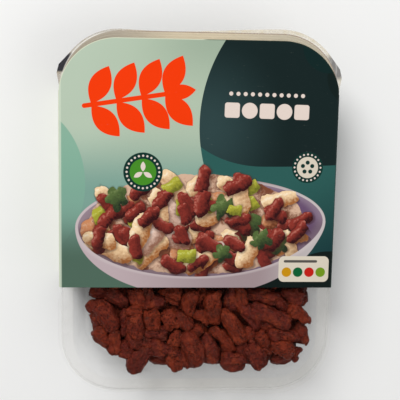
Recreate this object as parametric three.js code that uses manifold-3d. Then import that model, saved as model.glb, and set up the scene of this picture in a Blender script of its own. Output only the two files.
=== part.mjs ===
// A clear tray of plant-based bacon pieces, sealed with a clear film lid and held in a printed card sleeve.
// Millimetres, +Z up. The pack lies on its back: +X is across it, +Y is towards its top end, and +Z comes
// out of its front. The origin is the middle of the pack's outline, on the surface that the pack lies on.

import * as THREE from 'three';
import { mergeVertices } from 'three/addons/utils/BufferGeometryUtils.js';
import Module from 'manifold-3d';

const wasm = await Module();
wasm.setup();

const { degToRad, lerp, clamp } = THREE.MathUtils;

// ---- Driving dimensions ----

const GAP = 0.3; // air between one piece and the next
const CARD = 0.5; // thickness of the sleeve's card

const TRAY = {
	length: 190.6, // outside its flange, along Y
	width: 143.2, // outside its flange, along X
	depth: 33.5, // from the underside of its floor to the top of its flange
	corner: 30, // corner radius of the flange
	flange: 6.5, // width of the sealing flange
	wall: 0.7, // thickness of the plastic
	lip: 1.6, // height of the flange's turned-down edge
	draft: degToRad( 9 ), // lean of the walls
	fillet: 6, // inside radius between wall and floor
};

// The film is cut wider than the flange, and unevenly. All but its thickness are reaches past the flange.
const FILM = {
	thickness: 0.25,
	tucked: 0.25, // inside the sleeve
	side: 1.7,
	least: 0.3, // at the ends of the pack
	most: 2.5, // at the ends of the pack
	leastAt: - 17, // X of the least reach
	wave: 124, // length along X from one least reach to the next
	ear: 3.45, // at the top corners, where the sleeve lets go of the film
	earAngle: degToRad( 20 ), // of an ear's middle round the corner, from the X axis
	earSpread: degToRad( 9 ),
	release: 7, // stretch along Y over which the film comes out of the sleeve
};

const SLEEVE = {
	width: 145.5,
	length: 130, // of its front and back panels, along Y
	setback: 3.3, // of its top edge from the flange's top edge
	corner: 30, // radius of the two top corners of each panel
	fold: 1.5, // outside radius of the folds
	sideTop: 65, // Y where the side panels stop, just below the rounded corners
};

// The least and the most that a bacon piece measures.
const PIECE = {
	length: [ 14, 21 ],
	width: [ 8, 10.5 ],
	thickness: [ 6.5, 8.5 ],
	taper: 0.3,
	bend: 0.16,
	lump: 0.1,
};

const HEAP = {
	level: 28.5, // height of its upper pieces' middles at the bottom end of the pack
	levelAtTop: 22, // the same at the pack's top end
	left: - 55, // X of the leftmost upper pieces' middles at the bottom end of the pack
	leftAtSleeve: - 58, // the same where the heap goes under the sleeve
	right: 59.5, // X of the rightmost upper pieces' middles
	bottom: - 79.5, // Y of the last upper pieces' middles
	rowPitch: 12.4,
	rows: 4,
	columns: 13,
	wallRows: [ 7.5, 17 ], // heights of the rows of pieces along the tray's walls
	wallPitch: 13.5,
	floorPitch: 13.5,
	floorRowPitch: 15.5,
	floorRows: 3,
	floorColumns: 8,
	coreInset: 9, // of the core from the tray's inside
	coreDrop: 3.5, // of the core's top below the upper pieces' middles
	fan: new THREE.Vector2( 0, 5 ), // the upper pieces point away from here
	smoothing: 0.2, // how far the surface may move as slivers are merged
	seed: 4021,
};

// ---- Heights, from the surface upwards ----

const trayBottom = CARD + GAP;
const floorTop = trayBottom + TRAY.wall;
const flangeTop = trayBottom + TRAY.depth;
const filmBottom = flangeTop + GAP;
const packTop = filmBottom + FILM.thickness + GAP + CARD;

const sleeveTop = TRAY.length / 2 - SLEEVE.setback;
const sleeveBottom = sleeveTop - SLEEVE.length;

// ---- Colours ----

const cardMaterial = new THREE.MeshStandardMaterial( {
	color: 0xa9c3ac,
	roughness: 0.5,
	metalness: 0,
} );
const trayMaterial = new THREE.MeshStandardMaterial( {
	color: 0xe9ece8,
	roughness: 0.12,
	metalness: 0,
	transparent: true,
	opacity: 0.35,
} );
const filmMaterial = new THREE.MeshStandardMaterial( {
	color: 0xf4f5f1,
	roughness: 0.08,
	metalness: 0,
	transparent: true,
	opacity: 0.25,
} );
const pieceMaterial = new THREE.MeshStandardMaterial( {
	color: 0x74382a,
	roughness: 0.6,
	metalness: 0,
} );

// ---- Solids ----

// A closed geometry as a solid that can be joined and cut.
function solid( geometry ) {

	const bare = geometry.clone();
	bare.deleteAttribute( 'normal' );
	bare.deleteAttribute( 'uv' );
	const merged = mergeVertices( bare, 1e-4 );
	return new wasm.Manifold( new wasm.Mesh( {
		numProp: 3,
		vertProperties: merged.attributes.position.array,
		triVerts: new Uint32Array( merged.index.array ),
	} ) );

}

// A named mesh of a solid.
function meshOf( made, name, material ) {

	const { vertProperties, triVerts } = made.getMesh();
	const geometry = new THREE.BufferGeometry();
	geometry.setAttribute( 'position', new THREE.BufferAttribute( vertProperties, 3 ) );
	geometry.setIndex( new THREE.BufferAttribute( triVerts, 1 ) );
	const faceted = geometry.toNonIndexed();
	faceted.computeVertexNormals();
	const mesh = new THREE.Mesh( faceted, material );
	mesh.name = name;
	return mesh;

}

// A closed body through rings of equal length, with a fan over the first and the last.
function loft( rings ) {

	const count = rings[ 0 ].length;
	const points = rings.flat();
	const index = [];
	for ( let r = 0; r < rings.length - 1; r ++ ) {

		for ( let i = 0; i < count; i ++ ) {

			const a = r * count + i;
			const b = r * count + ( i + 1 ) % count;
			index.push( a, b, b + count, a, b + count, a + count );

		}

	}

	[ 0, rings.length - 1 ].forEach( ( r ) => {

		const middle = points.length;
		points.push( rings[ r ].reduce( ( sum, p ) => sum.add( p ), new THREE.Vector3() ).divideScalar( count ) );
		for ( let i = 0; i < count; i ++ ) {

			const a = r * count + i;
			const b = r * count + ( i + 1 ) % count;
			index.push( middle, ...( r === 0 ? [ b, a ] : [ a, b ] ) );

		}

	} );
	const geometry = new THREE.BufferGeometry().setFromPoints( points );
	geometry.setIndex( index );
	return geometry;

}

// ---- The tray's outline ----

// Points round the flange's outline moved inwards by inset, anticlockwise, with their outward normals.
function outline( inset, cornerSteps = 8, sideSteps = 1 ) {

	const r = TRAY.corner - inset;
	const cx = TRAY.width / 2 - TRAY.corner;
	const cy = TRAY.length / 2 - TRAY.corner;
	const corners = [ [ cx, cy ], [ - cx, cy ], [ - cx, - cy ], [ cx, - cy ] ];
	const points = [];
	corners.forEach( ( [ x, y ], quarter ) => {

		for ( let i = 0; i <= cornerSteps; i ++ ) {

			const angle = ( quarter + i / cornerSteps ) * Math.PI / 2;
			const normal = new THREE.Vector2( Math.cos( angle ), Math.sin( angle ) );
			points.push( { at: new THREE.Vector2( x, y ).addScaledVector( normal, r ), normal } );

		}

		const last = points[ points.length - 1 ];
		const [ nextX, nextY ] = corners[ ( quarter + 1 ) % 4 ];
		const next = new THREE.Vector2( nextX, nextY ).addScaledVector( last.normal, r );
		for ( let i = 1; i < sideSteps; i ++ ) {

			points.push( { at: last.at.clone().lerp( next, i / sideSteps ), normal: last.normal } );

		}

	} );
	return points;

}

function ringAt( inset, z ) {

	return outline( inset ).map( ( { at } ) => new THREE.Vector3( at.x, at.y, z ) );

}

// ---- Tray ----

// The middle of the arc between the tray's inner wall and floor, as an inset and a height.
const filletZ = floorTop + TRAY.fillet;
const filletInset = TRAY.flange + ( flangeTop - filletZ ) * Math.tan( TRAY.draft )
	+ TRAY.fillet / Math.cos( TRAY.draft );

// How far the tray's inside is from its flange's edge at height z.
function insideInset( z ) {

	const drop = filletZ - z;
	const isOnWall = drop <= TRAY.fillet * Math.sin( TRAY.draft );
	if ( isOnWall ) return TRAY.flange + ( flangeTop - z ) * Math.tan( TRAY.draft );
	return filletInset - Math.sqrt( Math.max( 0, TRAY.fillet ** 2 - drop ** 2 ) );

}

// Inset and height along the tray's section, from under its floor, round the flange, to the floor's top.
function traySection() {

	const arcSteps = 4;
	const wallAngle = Math.PI + TRAY.draft;
	const floorAngle = 1.5 * Math.PI;
	const undersideZ = flangeTop - TRAY.wall;
	const outerWall = TRAY.wall / Math.cos( TRAY.draft ) - TRAY.wall * Math.tan( TRAY.draft );
	const section = new THREE.Path();
	section.absarc( filletInset, filletZ, TRAY.fillet + TRAY.wall, floorAngle, wallAngle, true );
	section.lineTo( TRAY.flange - outerWall, undersideZ );
	section.lineTo( TRAY.wall, undersideZ );
	section.lineTo( TRAY.wall, flangeTop - TRAY.lip );
	section.lineTo( 0, flangeTop - TRAY.lip );
	section.lineTo( 0, flangeTop );
	section.lineTo( TRAY.flange, flangeTop );
	section.absarc( filletInset, filletZ, TRAY.fillet, wallAngle, floorAngle, false );
	return section.getPoints( arcSteps );

}

function makeTray() {

	return solid( loft( traySection().map( ( p ) => ringAt( p.x, p.y ) ) ) );

}

// The space inside the tray, kept a gap away from its plastic.
function makeCavity() {

	const filletSteps = 6;
	const rings = [];
	for ( let i = 0; i <= filletSteps; i ++ ) {

		const z = lerp( floorTop + GAP, filletZ, i / filletSteps );
		rings.push( ringAt( insideInset( z ) + GAP, z ) );

	}

	rings.push( ringAt( insideInset( flangeTop ) + GAP, flangeTop ) );
	return solid( loft( rings ) );

}

// ---- Film ----

// How far the film reaches past the flange at one point of its edge.
function filmReach( { at, normal } ) {

	const smooth = THREE.MathUtils.smoothstep;
	const out = at.y > 0
		? smooth( at.y, SLEEVE.sideTop + GAP, SLEEVE.sideTop + FILM.release )
		: 1 - smooth( at.y, sleeveBottom - FILM.release, sleeveBottom - GAP );
	const cornerX = TRAY.width / 2 - TRAY.corner;
	const x = clamp( at.x, - cornerX, cornerX );
	const wave = 0.5 - 0.5 * Math.cos( 2 * Math.PI * ( x - FILM.leastAt ) / FILM.wave );
	const end = lerp( FILM.least, FILM.most, wave );
	const free = lerp( FILM.side, end, Math.abs( normal.y ) );
	const angle = Math.atan2( normal.y, Math.abs( normal.x ) );
	const ear = Math.exp( - ( ( ( angle - FILM.earAngle ) / FILM.earSpread ) ** 2 ) );
	return lerp( lerp( FILM.tucked, free, out ), FILM.ear, ear * out );

}

function makeFilm() {

	const cornerSteps = 12;
	const sideSteps = 20;
	const edge = outline( 0, cornerSteps, sideSteps ).map( ( point ) =>
		point.at.clone().addScaledVector( point.normal, filmReach( point ) ) );
	const sheet = { depth: FILM.thickness, bevelEnabled: false };
	const geometry = new THREE.ExtrudeGeometry( new THREE.Shape( edge ), sheet );
	geometry.translate( 0, 0, filmBottom );
	return solid( geometry );

}

// ---- Sleeve ----

// The folded card's section moved inwards by inset, as X and height.
function foldedOutline( inset, Path ) {

	const x = SLEEVE.width / 2 - SLEEVE.fold;
	const low = SLEEVE.fold;
	const high = packTop - SLEEVE.fold;
	const r = SLEEVE.fold - inset;
	const folded = new Path();
	folded.absarc( x, high, r, 0, Math.PI / 2 );
	folded.absarc( - x, high, r, Math.PI / 2, Math.PI );
	folded.absarc( - x, low, r, Math.PI, 1.5 * Math.PI );
	folded.absarc( x, low, r, 1.5 * Math.PI, 2 * Math.PI );
	return folded;

}

// The folded card before it is cut: an endless band from its top edge to its bottom edge.
function makeBand() {

	const section = foldedOutline( 0, THREE.Shape );
	section.holes.push( foldedOutline( CARD, THREE.Path ) );
	const run = { depth: SLEEVE.length, bevelEnabled: false, curveSegments: 4 };
	const geometry = new THREE.ExtrudeGeometry( section, run );
	geometry.rotateX( Math.PI / 2 );
	geometry.translate( 0, sleeveTop, 0 );
	return solid( geometry );

}

// What a rounded top corner takes away from both panels, on the side that sign gives.
function makeCornerCut( sign ) {

	const clear = 5; // how far the cut runs past the card
	const x = SLEEVE.width / 2 - SLEEVE.corner;
	const y = sleeveTop - SLEEVE.corner;
	const far = SLEEVE.corner + clear;
	const shape = new THREE.Shape();
	shape.moveTo( x + SLEEVE.corner, y );
	shape.lineTo( x + far, y );
	shape.lineTo( x + far, y + far );
	shape.lineTo( x, y + far );
	shape.absarc( x, y, SLEEVE.corner, Math.PI / 2, 0, true );
	const run = { depth: packTop + 2 * clear, bevelEnabled: false, curveSegments: 14 };
	const geometry = new THREE.ExtrudeGeometry( shape, run );
	geometry.translate( 0, 0, - clear );
	const cut = solid( geometry );
	return sign > 0 ? cut : cut.mirror( [ 1, 0, 0 ] );

}

// What is missing of the side panels above their top edges.
function makeSideCut() {

	const tab = sleeveTop - SLEEVE.sideTop;
	const geometry = new THREE.BoxGeometry( 2 * SLEEVE.width, 2 * tab, packTop - 2 * CARD );
	geometry.translate( 0, SLEEVE.sideTop + tab, packTop / 2 );
	return solid( geometry );

}

function makeSleeve() {

	return makeBand()
		.subtract( makeSideCut() )
		.subtract( makeCornerCut( 1 ) )
		.subtract( makeCornerCut( - 1 ) );

}

// ---- Heap of bacon pieces ----

// A stream of even random numbers from 0 to 1, the same for each seed.
function randomStream( seed ) {

	let state = seed;
	return () => {

		state = ( Math.imul( state, 1664525 ) + 1013904223 ) >>> 0;
		return state / 2 ** 32;

	};

}

const random = randomStream( HEAP.seed );
const between = ( [ low, high ] ) => lerp( low, high, random() );
const jitter = ( amount ) => between( [ - amount, amount ] );

// Height of the upper pieces' middles, which falls towards the top end of the pack.
function heapLevel( y ) {

	return lerp( HEAP.level, HEAP.levelAtTop, y / TRAY.length + 0.5 );

}

// One piece: its middle, its turns and the numbers that shape it.
function drawPiece( at, yaw, tilt ) {

	return {
		at,
		turn: new THREE.Euler( jitter( tilt ), jitter( tilt ), yaw, 'ZYX' ),
		length: between( PIECE.length ),
		width: between( PIECE.width ),
		thickness: between( PIECE.thickness ),
		taper: jitter( PIECE.taper ),
		bend: jitter( PIECE.bend ),
		phase: jitter( Math.PI ),
	};

}

// Pieces in staggered rows over the part of the heap that shows through the film.
function upperPieces() {

	const pieces = [];
	for ( let row = 0; row < HEAP.rows; row ++ ) {

		const left = lerp( HEAP.left, HEAP.leftAtSleeve, row / ( HEAP.rows - 1 ) );
		const pitch = ( HEAP.right - left ) / ( HEAP.columns - 1 );
		for ( let column = 0; column < HEAP.columns; column ++ ) {

			const stagger = row % 2 ? 0.4 : 0;
			const x = Math.min( left + ( column + stagger ) * pitch, HEAP.right ) + jitter( 1.6 );
			const y = HEAP.bottom + row * HEAP.rowPitch + jitter( 2.6 );
			const yaw = Math.atan2( y - HEAP.fan.y, x - HEAP.fan.x ) + jitter( 0.5 );
			const at = new THREE.Vector3( x, y, heapLevel( y ) + jitter( 1.4 ) );
			pieces.push( drawPiece( at, yaw, 0.3 ) );

		}

	}

	return pieces;

}

// Pieces in a row along the tray's wall, where the sleeve leaves it bare.
function wallPieces( height ) {

	const inset = insideInset( height ) + 3;
	const curve = new THREE.CatmullRomCurve3( ringAt( inset, height ), true, 'catmullrom', 0 );
	const count = Math.round( curve.getLength() / HEAP.wallPitch );
	const pieces = [];
	for ( let i = 0; i < count; i ++ ) {

		const share = ( i + 0.5 + jitter( 0.15 ) ) / count;
		const at = curve.getPointAt( share );
		const along = curve.getTangentAt( share );
		const isBare = at.y < sleeveBottom || at.y > SLEEVE.sideTop;
		const inward = new THREE.Vector3( - along.y, along.x, 0 ).multiplyScalar( 1.75 + jitter( 1.75 ) );
		at.add( inward ).setZ( height + jitter( 1 ) );
		const piece = drawPiece( at, Math.atan2( along.y, along.x ) + jitter( 0.4 ), 0.5 );
		if ( isBare ) pieces.push( piece );

	}

	return pieces;

}

// Pieces that lie on the clear floor, where the sleeve leaves it bare.
function floorPieces() {

	const pieces = [];
	const middleZ = floorTop + GAP + 3;
	for ( let row = 0; row < HEAP.floorRows; row ++ ) {

		for ( let column = 0; column < HEAP.floorColumns; column ++ ) {

			const stagger = row % 2 ? 0.4 : - 0.1;
			const x = ( column - ( HEAP.floorColumns - 1 ) / 2 + stagger ) * HEAP.floorPitch + jitter( 2 );
			const y = - 72 + row * HEAP.floorRowPitch + jitter( 2 );
			const at = new THREE.Vector3( x, y, middleZ + jitter( 0.3 ) );
			pieces.push( drawPiece( at, jitter( Math.PI / 2 ), 0.12 ) );

		}

	}

	return pieces;

}

// A piece's solid: a ball drawn out, thinned to one end, bent and made lumpy.
function pieceSolid( piece, aroundSteps, alongSteps ) {

	const geometry = new THREE.SphereGeometry( 1, aroundSteps, alongSteps );
	geometry.rotateZ( Math.PI / 2 );
	const position = geometry.attributes.position;
	for ( let i = 0; i < position.count; i ++ ) {

		const u = position.getX( i );
		const lump = 1 + PIECE.lump * Math.sin( 3.5 * u + piece.phase );
		const swell = ( 1 + piece.taper * u ) * lump / 2;
		const bow = piece.bend * piece.length * ( 0.5 - u * u );
		const y = position.getY( i ) * piece.width * swell + bow;
		const z = position.getZ( i ) * piece.thickness * swell;
		position.setXYZ( i, u * piece.length / 2, y, z );

	}

	geometry.applyMatrix4( new THREE.Matrix4().makeRotationFromEuler( piece.turn ) );
	geometry.translate( piece.at.x, piece.at.y, piece.at.z );
	return solid( geometry );

}

// The heap's plain middle, which the pieces are fused to.
function makeCore() {

	const low = floorTop + GAP + 2.5;
	const inset = insideInset( low + 4 ) + HEAP.coreInset;
	const bottom = ringAt( inset, low );
	const top = ringAt( inset, low ).map( ( p ) => p.setZ( heapLevel( p.y ) - HEAP.coreDrop ) );
	return solid( loft( [ bottom, top ] ) );

}

function makeHeap() {

	const upper = upperPieces().map( ( piece ) => pieceSolid( piece, 6, 5 ) );
	const lower = [ ...HEAP.wallRows.flatMap( wallPieces ), ...floorPieces() ];
	const plain = lower.map( ( piece ) => pieceSolid( piece, 6, 4 ) );
	const joined = wasm.Manifold.union( [ makeCore(), ...upper, ...plain ] );
	const heap = joined.intersect( makeCavity() ).simplify( HEAP.smoothing );
	return heap.decompose().reduce( ( most, next ) => next.volume() > most.volume() ? next : most );

}

// ---- The pack ----

const pack = new THREE.Group();
pack.add(
	meshOf( makeSleeve(), 'sleeve', cardMaterial ),
	meshOf( makeTray(), 'tray', trayMaterial ),
	meshOf( makeFilm(), 'lid_film', filmMaterial ),
	meshOf( makeHeap(), 'bacon_pieces', pieceMaterial ),
);

export default pack;
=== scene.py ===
"""The looks of a sealed pack: a clear tray of bacon-style pieces in a printed card sleeve.

The print and the plastics are node materials on the CAD pieces. The heap of pieces is a finer mesh that
stands for its CAD solid. Names that end in MM are in millimetres, and so is every place and size in the
print.
"""

import math
from functools import partial
from itertools import product
from random import Random

import bmesh
import bpy
import numpy as np
from mathutils import Euler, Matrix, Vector


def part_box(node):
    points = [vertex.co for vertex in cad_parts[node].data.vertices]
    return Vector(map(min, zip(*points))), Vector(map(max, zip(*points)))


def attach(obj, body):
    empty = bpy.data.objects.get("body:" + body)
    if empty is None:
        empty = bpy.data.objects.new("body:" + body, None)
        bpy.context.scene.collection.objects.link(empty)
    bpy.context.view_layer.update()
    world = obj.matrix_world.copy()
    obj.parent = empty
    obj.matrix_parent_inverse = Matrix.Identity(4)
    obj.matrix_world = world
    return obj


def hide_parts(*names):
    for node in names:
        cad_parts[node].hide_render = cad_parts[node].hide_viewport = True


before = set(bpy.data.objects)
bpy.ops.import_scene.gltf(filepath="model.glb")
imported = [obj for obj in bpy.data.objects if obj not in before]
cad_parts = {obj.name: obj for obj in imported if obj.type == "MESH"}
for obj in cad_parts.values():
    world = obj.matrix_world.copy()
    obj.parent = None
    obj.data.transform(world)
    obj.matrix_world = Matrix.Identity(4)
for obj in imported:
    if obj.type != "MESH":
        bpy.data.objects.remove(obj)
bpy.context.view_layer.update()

# ---- Sizes ----

MM = 0.001

SLEEVE_LOW, SLEEVE_HIGH = (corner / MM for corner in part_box("sleeve"))
TRAY_LOW, TRAY_HIGH = (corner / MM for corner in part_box("tray"))
FILM_LOW, _ = (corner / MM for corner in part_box("lid_film"))

TRAY_CORNER_MM = 30.0
TRAY_FLANGE_MM = 6.5
TRAY_WALL_MM = 0.7
TRAY_FILLET_MM = 6.0
TRAY_DRAFT = math.radians(9)

# ---- Camera and lights ----

FOCAL_PIXELS = 854  # fitted to the sleeve's edges in the photo
PHOTO_PIXELS = 400
SENSOR_WIDTH = 36.0
CAMERA_FROM_FRONT_MM = Vector((-32.4, 74.3, 441.5))  # from the middle of the pack's printed front
CAMERA_TURN = Euler((math.radians(-8.46), math.radians(-4.13), math.radians(1.10)))

WORLD_STRENGTH = 0.42
LIGHTS = (  # the name, place, size and power of each one
    ("key", (-0.5, 0.95, 0.95), 0.75, 15.5),
    ("fill", (0.9, -0.4, 0.9), 1.2, 4.0),
)


def add_object(name, data):
    made = bpy.data.objects.new(name, data)
    bpy.context.scene.collection.objects.link(made)
    return made


def add_camera():
    data = bpy.data.cameras.new("camera")
    data.sensor_width = SENSOR_WIDTH
    data.lens = FOCAL_PIXELS / PHOTO_PIXELS * SENSOR_WIDTH
    camera = add_object("camera", data)
    camera.location = (Vector((0, 0, SLEEVE_HIGH.z)) + CAMERA_FROM_FRONT_MM) * MM
    camera.rotation_euler = CAMERA_TURN
    bpy.context.scene.camera = camera


def add_area_light(name, place, size, power):
    """A round light that points at the middle of the floor under the pack."""
    data = bpy.data.lights.new(name, "AREA")
    data.shape = "DISK"
    data.size = size
    data.energy = power
    light = add_object(name, data)
    light.location = place
    aim = Vector((0, 0, 0)) - light.location
    light.rotation_euler = aim.to_track_quat("-Z", "Y").to_euler()


def add_world():
    world = bpy.data.worlds.new("studio")
    world.use_nodes = True
    background = world.node_tree.nodes["Background"]
    background.inputs["Color"].default_value = (1, 1, 1, 1)
    background.inputs["Strength"].default_value = WORLD_STRENGTH
    bpy.context.scene.world = world


# ---- Node materials ----

MIX_SHARE, MIX_BASE, MIX_OTHER = 0, 6, 7  # the inputs of a mix of colours, by place, as names repeat
MIXED = 2
EDGE_MM = 0.12  # half the softness of a printed edge
LOBES = 5
LOBE_DEPTH = 0.42  # as a share of the leaf's radius


def srgb(red, green, blue):
    """A colour on the 0 to 255 scale of a picture, as the shaders want it."""
    parts = [value / 255 for value in (red, green, blue)]
    return tuple(p / 12.92 if p <= 0.04045 else ((p + 0.055) / 1.055) ** 2.4 for p in parts) + (1.0,)


class Number:
    """A number that changes over a surface. Sums with it add nodes to its material."""

    def __init__(self, paint, socket):
        self.paint = paint
        self.socket = socket

    def math(self, operation, *others):
        return self.paint.math(operation, self, *others)

    def __add__(self, other):
        return self.math("ADD", other)

    def __sub__(self, other):
        return self.math("SUBTRACT", other)

    def __rsub__(self, other):
        return self.paint.math("SUBTRACT", other, self)

    def __mul__(self, other):
        return self.math("MULTIPLY", other)

    def __truediv__(self, other):
        return self.math("DIVIDE", other)

    def __abs__(self):
        return self.math("ABSOLUTE")

    def squared(self):
        return self * self

    def least(self, other):
        return self.math("MINIMUM", other)

    def most(self, other):
        return self.math("MAXIMUM", other)


class Paint:
    """A node material whose colour is built up by laying one colour after another."""

    def __init__(self, name):
        self.material = bpy.data.materials.new(name)
        self.material.use_nodes = True
        self.work_in(self.material.node_tree)
        self.nodes.clear()

    def work_in(self, tree):
        self.nodes = tree.nodes
        self.links = tree.links

    def node(self, kind, inputs=None, **settings):
        made = self.nodes.new(kind)
        for key, value in settings.items():
            setattr(made, key, value)
        for key, value in (inputs or {}).items():
            self.feed(made.inputs[key], value)
        return made

    def feed(self, socket, value):
        if isinstance(value, Number):
            value = value.socket
        if isinstance(value, bpy.types.NodeSocket):
            self.links.new(value, socket)
        else:
            socket.default_value = value

    def math(self, operation, *values):
        inputs = dict(enumerate(values))
        return Number(self, self.node("ShaderNodeMath", inputs, operation=operation).outputs[0])

    def split(self, vector):
        parts = self.node("ShaderNodeSeparateXYZ", {0: vector})
        return [Number(self, socket) for socket in parts.outputs]

    def place(self):
        """Where a point of the surface is in the pack, in millimetres, and the same as one vector."""
        coordinates = self.node("ShaderNodeTexCoord").outputs["Object"]
        scaled = self.node("ShaderNodeVectorMath", {0: coordinates}, operation="SCALE")
        scaled.inputs["Scale"].default_value = 1 / MM
        return self.split(scaled.outputs[0]), scaled.outputs[0]

    def facing(self):
        """The surface's outward direction."""
        return self.split(self.node("ShaderNodeNewGeometry").outputs["Normal"])

    def vector(self, x, y, z=0.0):
        return self.node("ShaderNodeCombineXYZ", {0: x, 1: y, 2: z}).outputs[0]

    def hypot(self, x, y):
        length = self.node("ShaderNodeVectorMath", {0: self.vector(x, y)}, operation="LENGTH")
        return Number(self, length.outputs["Value"])

    def smooth(self, value, start, end):
        """0 up to start, 1 from end on, and smooth between them."""
        inputs = {"Value": value, "From Min": start, "From Max": end}
        made = self.node("ShaderNodeMapRange", inputs, interpolation_type="SMOOTHSTEP")
        return Number(self, made.outputs["Result"])

    def mix(self, base, other, share):
        """The base colour, with a share of the other one over it."""
        made = self.node("ShaderNodeMix", data_type="RGBA")
        self.feed(made.inputs[MIX_SHARE], share)
        self.feed(made.inputs[MIX_BASE], base)
        self.feed(made.inputs[MIX_OTHER], other)
        return made.outputs[MIXED]

    def noise(self, where, scale, detail=2.0, roughness=0.5, stretch=None):
        """Cloudy numbers from about 0 to 1, scale of them to the millimetre."""
        if stretch:
            where = self.node("ShaderNodeMapping", {"Vector": where, "Scale": stretch}).outputs[0]
        inputs = {"Vector": where, "Scale": scale, "Detail": detail, "Roughness": roughness}
        return Number(self, self.node("ShaderNodeTexNoise", inputs).outputs["Fac"])

    def bump(self, height, strength, distance_mm, normal=None):
        inputs = {"Height": height, "Strength": strength, "Distance": distance_mm * MM}
        made = self.node("ShaderNodeBump", inputs)
        if normal:
            self.feed(made.inputs["Normal"], normal)
        return made.outputs[0]

    def principled(self, **inputs):
        named = {key.replace("_", " "): value for key, value in inputs.items()}
        return self.node("ShaderNodeBsdfPrincipled", named).outputs[0]

    def finish(self, shader):
        self.node("ShaderNodeOutputMaterial", {"Surface": shader})
        return self.material

    def start(self, colour):
        self.colour = colour

    def lay(self, colour, share):
        self.colour = self.mix(self.colour, colour, share)

    def part(self, name, lay, place):
        """Lays a part of the print in a node group of its own, as one large tree is slow to build.

        What is laid may move the places that the next part starts from, and they are returned.
        """
        tree = bpy.data.node_groups.new(name, "ShaderNodeTree")
        sockets = (("Place", "NodeSocketVector"), ("Colour", "NodeSocketColor"))
        for in_out, (socket, kind) in product(("INPUT", "OUTPUT"), sockets):
            tree.interface.new_socket(socket, in_out=in_out, socket_type=kind)
        nodes, links, colour = self.nodes, self.links, self.colour
        self.work_in(tree)
        entry = self.node("NodeGroupInput").outputs
        self.start(entry["Colour"])
        x, y, _ = self.split(entry["Place"])
        moved = lay(self, x, y, entry["Place"])
        self.node("NodeGroupOutput", {"Place": moved or entry["Place"], "Colour": self.colour})
        self.nodes, self.links = nodes, links
        group = self.node("ShaderNodeGroup", node_tree=tree)
        self.feed(group.inputs["Place"], place)
        self.feed(group.inputs["Colour"], colour)
        self.start(group.outputs["Colour"])
        return group.outputs["Place"]

    def inside(self, distance, edge=EDGE_MM):
        """1 where a distance from a shape's outline is below 0, which is inside it."""
        return self.smooth(distance, edge, -edge)

    def shape(self, colour, distance):
        self.lay(colour, self.inside(distance))

    def turned(self, x, y, centre, degrees=0.0):
        """Coordinates from a shape's own centre, along and across it."""
        settings = {"Vector": self.vector(x, y), "Location": (*centre, 0.0)}
        settings["Rotation"] = (0.0, 0.0, math.radians(degrees))
        mapping = self.node("ShaderNodeMapping", settings, vector_type="TEXTURE")
        along, across, _ = self.split(mapping.outputs[0])
        return along, across

    def from_nearest(self, value, pitch):
        """How far a value is from the nearest whole number of pitches."""
        return self.math("WRAP", value, pitch / 2, -pitch / 2)

    def disc(self, x, y, radius):
        return self.hypot(x, y) - radius

    def oval(self, x, y, half_length, half_width):
        """Not a true distance, but near enough to one for shapes that aren't thin."""
        return (self.hypot(x / half_length, y / half_width) - 1.0) * min(half_length, half_width)

    def bar(self, x, y, half_length, radius):
        """A bar with round ends."""
        return self.hypot((abs(x) - (half_length - radius)).most(0.0), y) - radius

    def box(self, x, y, half_length, half_width, radius):
        along = (abs(x) - (half_length - radius)).most(0.0)
        across = (abs(y) - (half_width - radius)).most(0.0)
        return self.hypot(along, across) - radius

    def leaf(self, x, y, half_length, half_width):
        """Pointed at both ends."""
        return (abs(y) - half_width) + (x / half_length).squared() * half_width

    def lobed(self, x, y, radius):
        """A round leaf with lobes."""
        lobes = abs((self.math("ARCTAN2", y, x) * (LOBES / 2)).math("COSINE"))
        return self.hypot(x, y) - (lobes * LOBE_DEPTH + (1 - LOBE_DEPTH)) * radius


# ---- The print ----


def from_middle(x, y, middle):
    return x - middle[0], y - middle[1]


CARD_WHITE = srgb(222, 221, 204)
MINT = srgb(173, 189, 168)
# Painted light on the mint: a lighter mint for the lit left of the front, and a darker one painted as shade
# at its top right.
LIT_MINT = srgb(178, 194, 174)
SHADED_MINT = srgb(155, 172, 152)
MINT_DEEP = srgb(121, 158, 145)
LOW_TEAL = srgb(77, 102, 88)
DARK = srgb(18, 34, 34)
DARK_GLOW = srgb(44, 66, 67)
DARK_PATCH = srgb(10, 36, 35)
DARK_CORNER = srgb(12, 26, 23)
TEAL = srgb(42, 89, 84)
TEAL_DEEP = srgb(0, 29, 40)
SIDE_TEAL = srgb(28, 66, 66)
CORNER_DARK = srgb(8, 22, 20)
EDGE_TEAL = srgb(124, 170, 148)
ORANGE = srgb(238, 56, 0)
CREAM = srgb(223, 207, 197)
PLATE_CREAM = srgb(213, 203, 185)
RING_DARK = srgb(11, 48, 42)
BADGE_GREEN = srgb(68, 137, 37)
TRIM_PALE = srgb(207, 212, 188)
TRIM_DARK = srgb(50, 62, 52)
# A paler mint painted along the left fold as a highlight.
FOLD_HIGHLIGHT = srgb(198, 210, 190)
CARD_GREY = srgb(192, 189, 172)
SCUFF_PALE = srgb(210, 216, 200)
PLATE_LINE = srgb(84, 80, 74)
GLUED_EDGE = srgb(110, 126, 112)

BOWL_LEFT = srgb(186, 168, 172)
BOWL_MIDDLE = srgb(156, 138, 141)
BOWL_RIGHT = srgb(186, 178, 178)
BOWL_RIM = srgb(202, 190, 190)
BOWL_INSIDE_LEFT = srgb(136, 116, 120)
BOWL_INSIDE_RIGHT = srgb(102, 78, 108)
BOWL_INSIDE_RIM = srgb(152, 134, 148)
BOWL_SHADE = srgb(60, 30, 30)
MEAL_PALE = srgb(210, 174, 148)
MEAL_DEEP = srgb(120, 70, 48)
MEAL_SHADOW = srgb(58, 26, 20)
MEAL_SPECK = srgb(60, 40, 34)

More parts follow.
